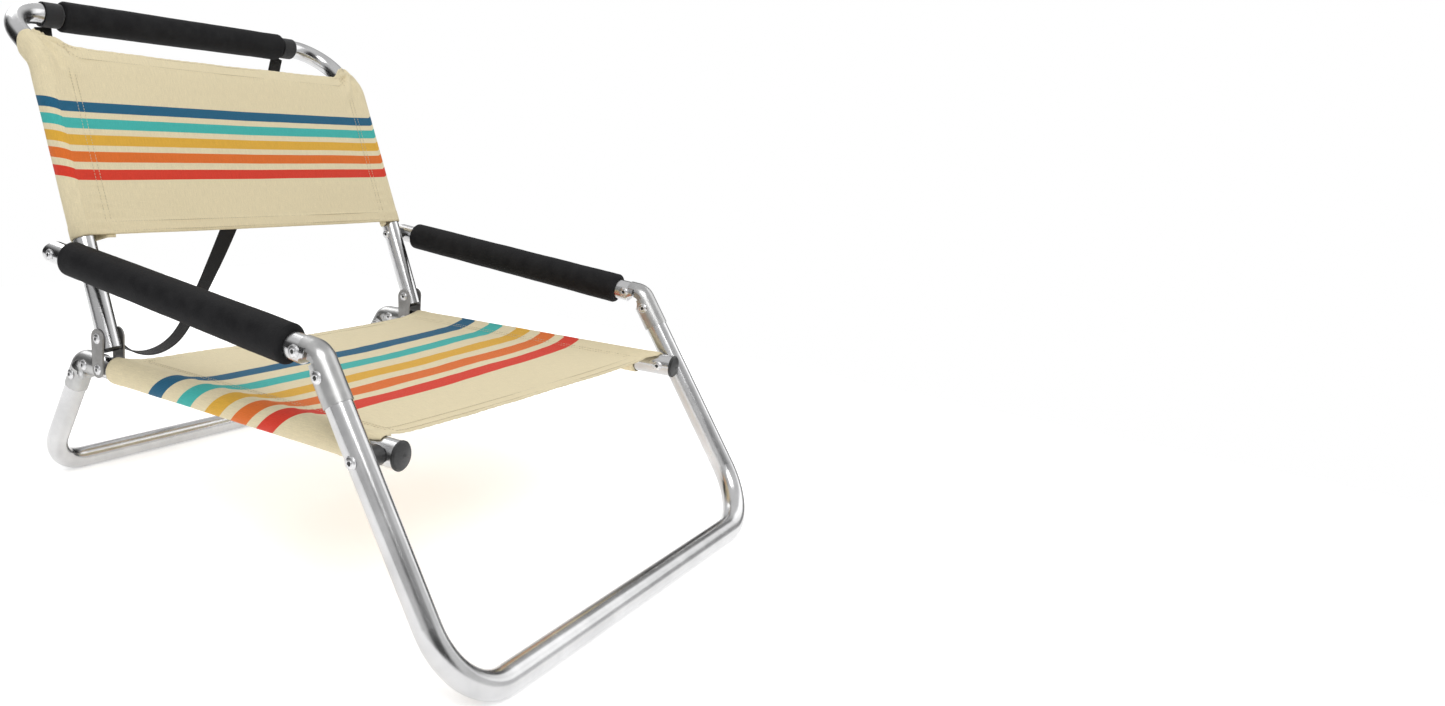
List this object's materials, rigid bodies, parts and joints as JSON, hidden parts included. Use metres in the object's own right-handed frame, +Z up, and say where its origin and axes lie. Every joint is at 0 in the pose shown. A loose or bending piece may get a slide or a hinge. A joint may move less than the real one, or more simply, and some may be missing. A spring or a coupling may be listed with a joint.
{
  "type": "folding camp chair",
  "caption": "Low folding camp chair: bent aluminium tube frame, striped fabric seat and back slings, foam arm grips and headrest, folding legs and a webbing shoulder strap.",
  "frame": {"origin": "on the floor, under the middle of the chair's bounding box", "axes": "+Z up, -Y the way the sitter faces, +X to the sitter's left"},
  "size_m": [0.649, 0.7715, 0.5596],
  "materials": {
    "tube_silver": "satin drawn tube",
    "bracket_grey": "satin silver-grey",
    "rivet_steel": "semi-bright",
    "black_plastic": "satin",
    "black_foam": "matt closed-cell foam",
    "black_webbing": "woven webbing",
    "striped_fabric": "woven cloth, cream with blue, teal, yellow, orange and red stripes"
  },
  "bodies": {
    "seat": {"seat_rail_left": "tube_silver", "seat_rail_right": "tube_silver", "hinge_plates_left": "bracket_grey", "hinge_plates_right": "bracket_grey", "rear_hood_left": "bracket_grey", "rear_hood_right": "bracket_grey", "rail_end_caps": "black_plastic", "back_pivot_rivets": "rivet_steel", "plate_rivets": "rivet_steel", "rear_hood_rivets": "rivet_steel", "front_leg_pivot_rivets": "rivet_steel", "rear_hinge_pins": "rivet_steel", "seat_sling": "striped_fabric"},
    "rear_legs": {"rear_leg_frame": "tube_silver", "rear_sleeve_left": "bracket_grey", "rear_sleeve_right": "bracket_grey", "rear_sleeve_rivets": "rivet_steel"},
    "front_legs": {"front_leg_frame": "tube_silver", "elbow_hood_left": "bracket_grey", "elbow_hood_right": "bracket_grey", "elbow_rivets": "rivet_steel", "leg_spacers": "black_plastic"},
    "backrest": {"back_frame": "tube_silver", "back_tube_plugs": "black_plastic", "arm_pivot_rivets": "rivet_steel", "back_sling": "striped_fabric", "headrest_grip": "black_foam", "strap_wrap_left": "black_webbing", "strap_wrap_right": "black_webbing", "shoulder_strap": "black_webbing"},
    "arm_left": {"arm_tube_left": "tube_silver", "arm_insert_left": "bracket_grey", "arm_grip_left": "black_foam", "arm_rivet_left": "rivet_steel", "arm_spacer_left": "black_plastic"},
    "arm_right": {"arm_tube_right": "tube_silver", "arm_insert_right": "bracket_grey", "arm_grip_right": "black_foam", "arm_rivet_right": "rivet_steel", "arm_spacer_right": "black_plastic"}
  },
  "joints": [
    {"name": "back_fold", "type": "hinge", "parent": "seat", "child": "backrest", "pos_m": [0, 0.1358, 0.1943], "axis": [1, 0, 0], "range_deg": [0, 100]},
    {"name": "front_leg_fold", "type": "hinge", "parent": "seat", "child": "front_legs", "pos_m": [0, -0.2548, 0.1792], "axis": [1, 0, 0], "range_deg": [0, 110.5]},
    {"name": "arm_left_swing", "type": "hinge", "parent": "backrest", "child": "arm_left", "pos_m": [0.306, 0.1811, 0.2808], "axis": [1, 0, 0], "range_deg": [-104.5, 0]},
    {"name": "arm_right_swing", "type": "hinge", "parent": "backrest", "child": "arm_right", "pos_m": [-0.306, 0.1811, 0.2808], "axis": [1, 0, 0], "range_deg": [-104.5, 0]},
    {"name": "rear_leg_fold", "type": "hinge", "parent": "seat", "child": "rear_legs", "pos_m": [0, 0.16961, 0.14593], "axis": [-1, 0, 0], "range_deg": [0, 107]}
  ],
  "couplings": [
    {"joint": "front_leg_fold", "follows": "back_fold", "ratio": 1.1018},
    {"joint": "arm_left_swing", "follows": "back_fold", "ratio": -1.0433},
    {"joint": "arm_right_swing", "follows": "back_fold", "ratio": -1.0433}
  ]
}
